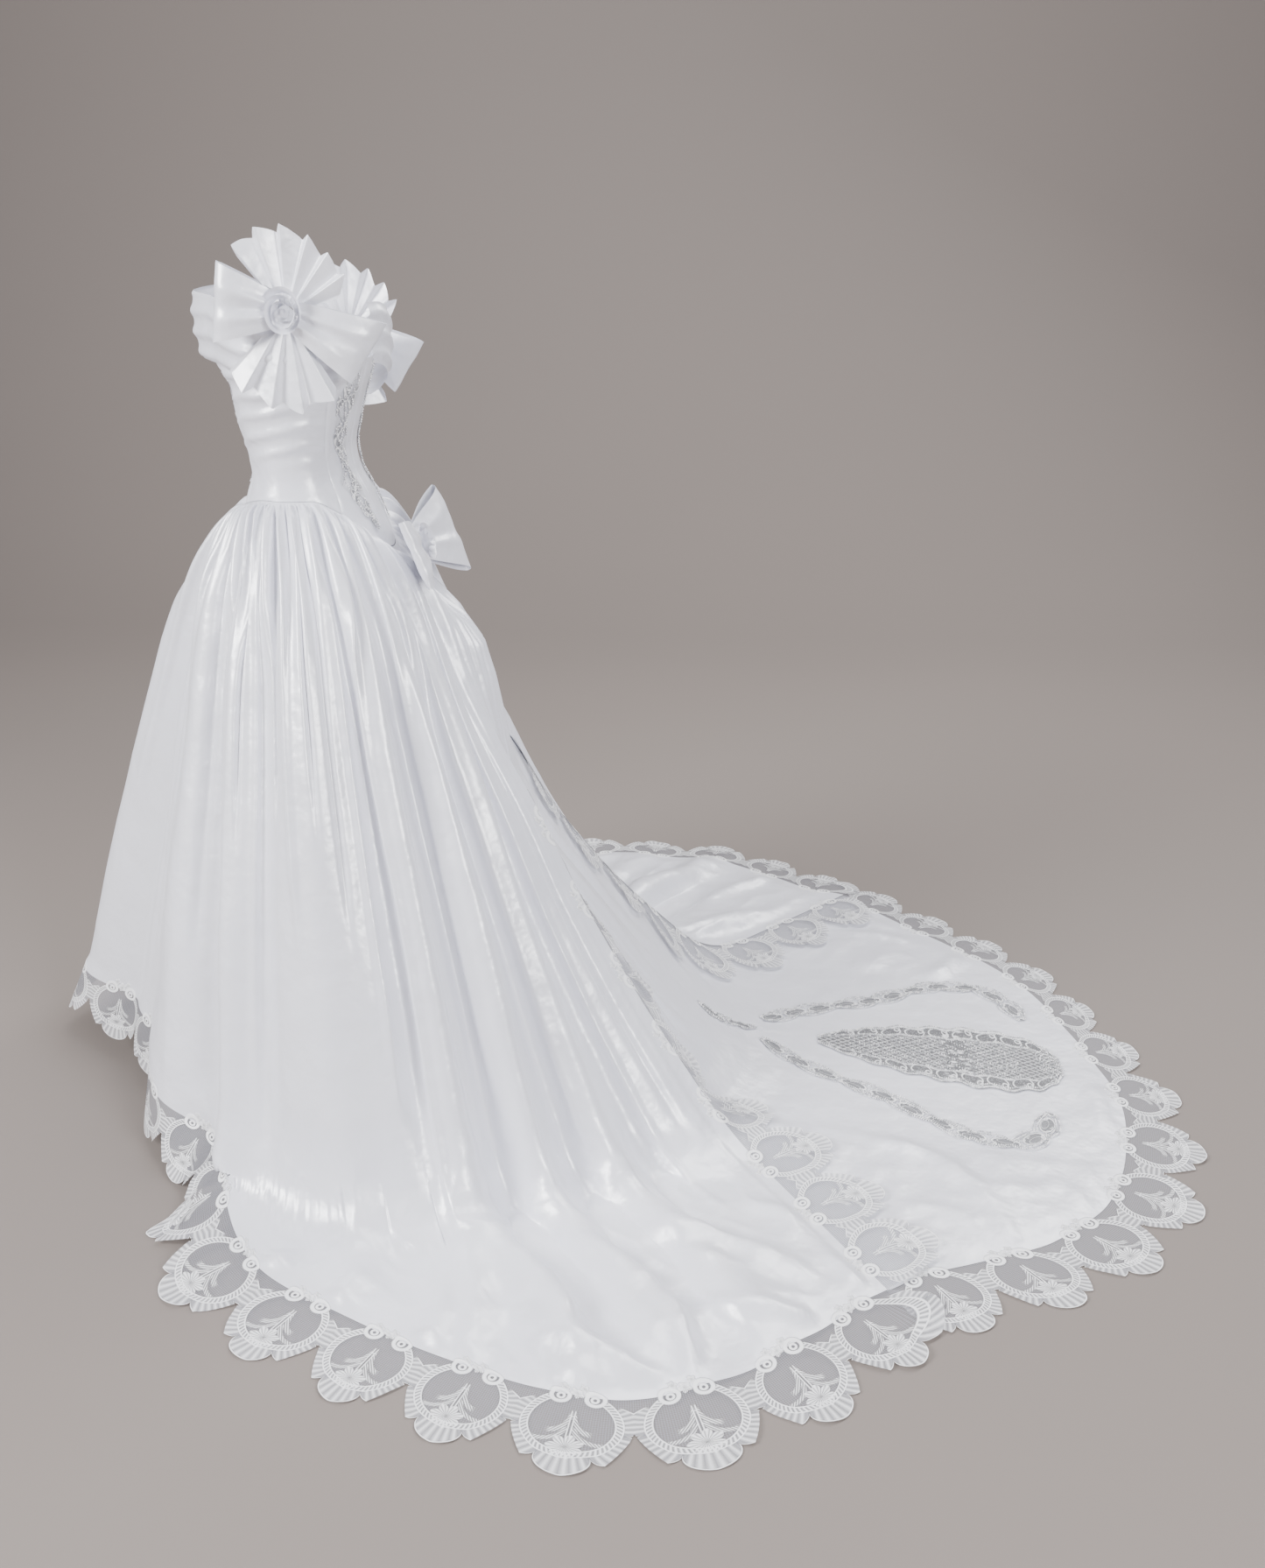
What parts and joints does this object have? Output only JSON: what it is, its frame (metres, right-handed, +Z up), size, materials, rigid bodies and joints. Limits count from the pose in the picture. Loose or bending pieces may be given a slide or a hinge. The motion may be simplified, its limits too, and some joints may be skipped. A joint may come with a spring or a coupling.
{
  "type": "wedding dress",
  "caption": "Off-the-shoulder satin wedding dress with a ruched bodice, basque waist, shoulder and back bows, full gathered skirt, lace-edged hem and a long round train, held in its worn shape",
  "frame": {"origin": "On the upright middle line of the dress, 1.28 m above the floor, at the height of the front neckline under the arms, where a hanger or stand holds the bodice", "axes": "+Z up, square to the floor. The wearer faces -Y and the train runs toward +Y. +X is the wearer's left. The floor under the hem and train is the plane z = -1.28 m."},
  "size_m": [2.0899, 2.1303, 1.5138],
  "materials": {
    "white_satin": "bright white satin with a strong soft sheen",
    "white_lace": "white embroidery on sheer net",
    "silver_beading": "silver and pearl beads on white lace"
  },
  "bodies": {
    "root": {"bodice_front": "white_satin", "bodice_side_left": "white_satin", "bodice_side_right": "white_satin", "bodice_back_left": "white_satin", "bodice_back_right": "white_satin", "placket_back": "white_satin", "neckline_band": "white_satin", "sleeve_left": "white_satin", "sleeve_right": "white_satin", "skirt_front": "white_satin", "skirt_side_left": "white_satin", "skirt_side_right": "white_satin", "skirt_back_train": "white_satin", "shoulder_fan_top_left": "white_satin", "shoulder_fan_top_right": "white_satin", "shoulder_fan_low_left": "white_satin", "shoulder_fan_low_right": "white_satin", "shoulder_loop_front_left": "white_satin", "shoulder_loop_front_right": "white_satin", "shoulder_loop_rear_left": "white_satin", "shoulder_loop_rear_right": "white_satin", "shoulder_rosette_left": "white_satin", "shoulder_rosette_right": "white_satin", "back_bow_loop_left": "white_satin", "back_bow_loop_right": "white_satin", "back_bow_rosette": "white_satin", "lace_hem_front": "white_lace", "lace_hem_left": "white_lace", "lace_hem_right": "white_lace", "lace_edge_left": "white_lace", "lace_edge_right": "white_lace", "lace_train": "white_lace", "applique_front": "silver_beading", "applique_back_left": "silver_beading", "applique_back_right": "silver_beading", "train_stem": "silver_beading", "train_medallion": "silver_beading", "train_scroll_left": "silver_beading", "train_scroll_right": "silver_beading"}
  },
  "joints": []
}
